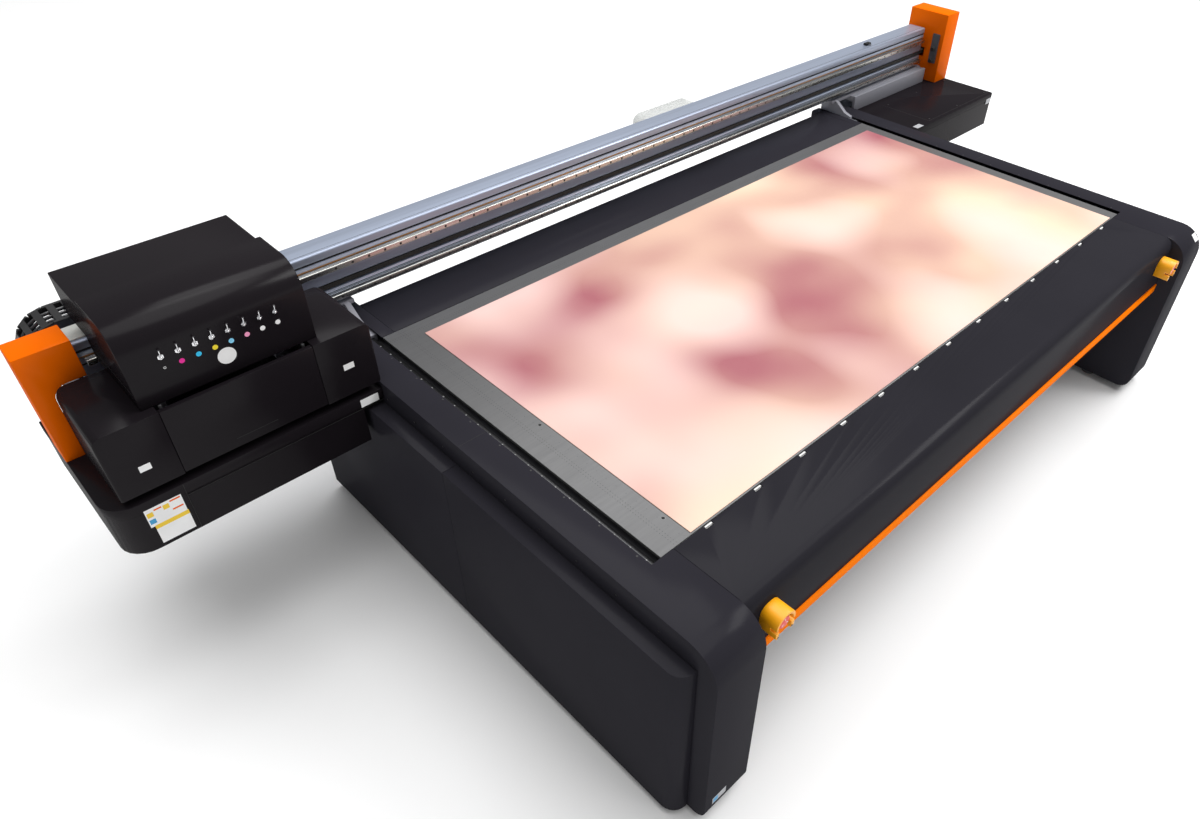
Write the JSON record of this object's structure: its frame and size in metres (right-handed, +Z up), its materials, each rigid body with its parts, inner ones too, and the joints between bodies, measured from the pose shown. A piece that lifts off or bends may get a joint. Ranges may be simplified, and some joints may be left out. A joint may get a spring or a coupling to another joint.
{
  "type": "flatbed uv printer",
  "caption": "Large flatbed UV printer with a vacuum table, a sliding gantry and a print carriage, in black covers with orange ends",
  "frame": {"origin": "on the floor, in the middle of the machine's width and depth", "axes": "X left to right seen from the front, Y front to back, Z up; metres"},
  "size_m": [4.576, 2.25, 1.22],
  "materials": {
    "black_cover": "satin black powder coat",
    "carriage_black": "smooth black powder coat with a soft sheen",
    "orange_cover": "satin orange powder coat",
    "frame_steel": "grey painted steel",
    "bed_aluminium": "anodised plate with a fine perforation",
    "beam_aluminium": "matte anodised extrusion",
    "bracket_grey": "light grey paint",
    "rail_steel": "ground rail steel",
    "belt_rubber": "matte rubber",
    "chain_plastic": "matte black plastic links",
    "motor_black": "matte black castings",
    "estop_yellow": "moulded yellow plastic",
    "estop_red": "moulded red plastic",
    "pin_white": "white acetal",
    "smoked_cover": "milky translucent plastic",
    "lever_chrome": "bright chrome",
    "head_metal": "machined metal"
  },
  "bodies": {
    "table": {"table_frame": "frame_steel", "side_cover_left": "black_cover", "side_cover_right": "black_cover", "cabinet_front_left": "black_cover", "cabinet_rear_left": "black_cover", "cabinet_right": "black_cover", "bed_plate": "bed_aluminium", "vacuum_plenum": "head_metal", "vacuum_blower": "motor_black", "front_cover": "black_cover", "orange_trim": "orange_cover", "rear_cover": "black_cover", "y_rail_left": "rail_steel", "y_rail_right": "rail_steel", "y_motor_left": "motor_black", "y_motor_right": "motor_black", "estop_housing_left": "estop_yellow", "estop_housing_right": "estop_yellow"},
    "y_screw_left": {"y_screw_left": "rail_steel"},
    "y_screw_right": {"y_screw_right": "rail_steel"},
    "register_pins": {"pin_bar": "pin_white"},
    "estop_stem_left": {"estop_stem_left": "head_metal"},
    "estop_stem_right": {"estop_stem_right": "head_metal"},
    "estop_head_left": {"estop_head_left": "estop_red"},
    "estop_head_right": {"estop_head_right": "estop_red"},
    "gantry": {"beam": "beam_aluminium", "beam_top_cover": "beam_aluminium", "x_rail_lower": "rail_steel", "x_rail_upper": "rail_steel", "bracket_left": "bracket_grey", "bracket_right": "bracket_grey", "tray_left": "carriage_black", "wing_right": "carriage_black", "end_cover_left": "orange_cover", "end_cover_right": "orange_cover", "x_belt": "belt_rubber", "x_motor": "motor_black", "ink_rack": "smoked_cover", "chain_lower": "chain_plastic"},
    "drive_pulley": {"drive_pulley": "head_metal"},
    "idler_pulley": {"idler_pulley": "head_metal"},
    "cap_tray": {"cap_tray": "belt_rubber"},
    "chain_bend": {"chain_bend": "chain_plastic"},
    "carriage": {"carriage_plate": "frame_steel"},
    "head_unit": {"head_frame": "head_metal", "print_heads": "motor_black", "hood": "carriage_black", "lamp_cover_left": "carriage_black", "lamp_cover_right": "carriage_black", "uv_lamp_left": "motor_black", "uv_lamp_right": "motor_black"},
    "front_door": {"front_door": "carriage_black"},
    "lever_1": {"lever_1": "lever_chrome"},
    "lever_2": {"lever_2": "lever_chrome"},
    "lever_3": {"lever_3": "lever_chrome"},
    "lever_4": {"lever_4": "lever_chrome"},
    "lever_5": {"lever_5": "lever_chrome"},
    "lever_6": {"lever_6": "lever_chrome"},
    "lever_7": {"lever_7": "lever_chrome"},
    "lever_8": {"lever_8": "lever_chrome"}
  },
  "joints": [
    {"name": "gantry_slide", "type": "slide", "parent": "table", "child": "gantry", "axis": [0, -1, 0], "range_m": [0, 1.3]},
    {"name": "carriage_slide", "type": "slide", "parent": "gantry", "child": "carriage", "axis": [1, 0, 0], "range_m": [0, 3.7]},
    {"name": "head_lift", "type": "slide", "parent": "carriage", "child": "head_unit", "axis": [0, 0, 1], "range_m": [0, 0.05]},
    {"name": "chain_roll", "type": "slide", "parent": "gantry", "child": "chain_bend", "axis": [1, 0, 0], "range_m": [0, 1.85], "deforming": ["chain_lower"]},
    {"name": "drive_pulley_turn", "type": "hinge", "parent": "gantry", "child": "drive_pulley", "pos_m": [-2.175, 0.7225, 0.885], "axis": [0, 0, 1], "continuous": true},
    {"name": "idler_pulley_turn", "type": "hinge", "parent": "gantry", "child": "idler_pulley", "pos_m": [2.2, 0.7225, 0.885], "axis": [0, 0, 1], "continuous": true},
    {"name": "y_screw_left_turn", "type": "hinge", "parent": "table", "child": "y_screw_left", "pos_m": [-1.4425, 0.655, 0.66], "axis": [0, 1, 0], "continuous": true},
    {"name": "estop_left_press", "type": "slide", "parent": "table", "child": "estop_stem_left", "axis": [0, 1, 0], "range_m": [0, 0.006], "stiffness_N_per_m": 700},
    {"name": "estop_left_twist", "type": "hinge", "parent": "estop_stem_left", "child": "estop_head_left", "pos_m": [-1.225, -1.103, 0.678], "axis": [0, -1, 0], "range_deg": [-45, 0], "stiffness_Nm_per_rad": 0.08},
    {"name": "y_screw_right_turn", "type": "hinge", "parent": "table", "child": "y_screw_right", "pos_m": [1.4425, 0.655, 0.66], "axis": [0, 1, 0], "continuous": true},
    {"name": "estop_right_press", "type": "slide", "parent": "table", "child": "estop_stem_right", "axis": [0, 1, 0], "range_m": [0, 0.006], "stiffness_N_per_m": 700},
    {"name": "estop_right_twist", "type": "hinge", "parent": "estop_stem_right", "child": "estop_head_right", "pos_m": [1.225, -1.103, 0.678], "axis": [0, -1, 0], "range_deg": [-45, 0], "stiffness_Nm_per_rad": 0.08},
    {"name": "cap_lift", "type": "slide", "parent": "gantry", "child": "cap_tray", "axis": [0, 0, 1], "range_m": [-0.02, 0.024]},
    {"name": "pin_lift", "type": "slide", "parent": "table", "child": "register_pins", "axis": [0, 0, 1], "range_m": [0, 0.007]},
    {"name": "front_door_swing", "type": "hinge", "parent": "head_unit", "child": "front_door", "pos_m": [-1.864, 0.295, 0.975], "axis": [-1, 0, 0], "range_deg": [0, 85]},
    {"name": "lever_1_toggle", "type": "hinge", "parent": "head_unit", "child": "lever_1", "pos_m": [-2.0145, 0.3154, 1.113], "axis": [1, 0, 0], "range_deg": [0, 100]},
    {"name": "lever_2_toggle", "type": "hinge", "parent": "head_unit", "child": "lever_2", "pos_m": [-1.9715, 0.3154, 1.113], "axis": [1, 0, 0], "range_deg": [0, 100]},
    {"name": "lever_3_toggle", "type": "hinge", "parent": "head_unit", "child": "lever_3", "pos_m": [-1.9285, 0.3154, 1.113], "axis": [1, 0, 0], "range_deg": [0, 100]},
    {"name": "lever_4_toggle", "type": "hinge", "parent": "head_unit", "child": "lever_4", "pos_m": [-1.8855, 0.3154, 1.113], "axis": [1, 0, 0], "range_deg": [0, 100]},
    {"name": "lever_5_toggle", "type": "hinge", "parent": "head_unit", "child": "lever_5", "pos_m": [-1.8425, 0.3154, 1.113], "axis": [1, 0, 0], "range_deg": [0, 100]},
    {"name": "lever_6_toggle", "type": "hinge", "parent": "head_unit", "child": "lever_6", "pos_m": [-1.7995, 0.3154, 1.113], "axis": [1, 0, 0], "range_deg": [0, 100]},
    {"name": "lever_7_toggle", "type": "hinge", "parent": "head_unit", "child": "lever_7", "pos_m": [-1.7565, 0.3154, 1.113], "axis": [1, 0, 0], "range_deg": [0, 100]},
    {"name": "lever_8_toggle", "type": "hinge", "parent": "head_unit", "child": "lever_8", "pos_m": [-1.7135, 0.3154, 1.113], "axis": [1, 0, 0], "range_deg": [0, 100]}
  ],
  "couplings": [
    {"joint": "drive_pulley_turn", "follows": "carriage_slide", "rad_per_m": 48.781},
    {"joint": "idler_pulley_turn", "follows": "carriage_slide", "rad_per_m": 48.781},
    {"joint": "y_screw_left_turn", "follows": "gantry_slide", "rad_per_m": 251.33},
    {"joint": "y_screw_right_turn", "follows": "gantry_slide", "rad_per_m": 251.33},
    {"joint": "chain_roll", "follows": "carriage_slide", "ratio": 0.5}
  ]
}
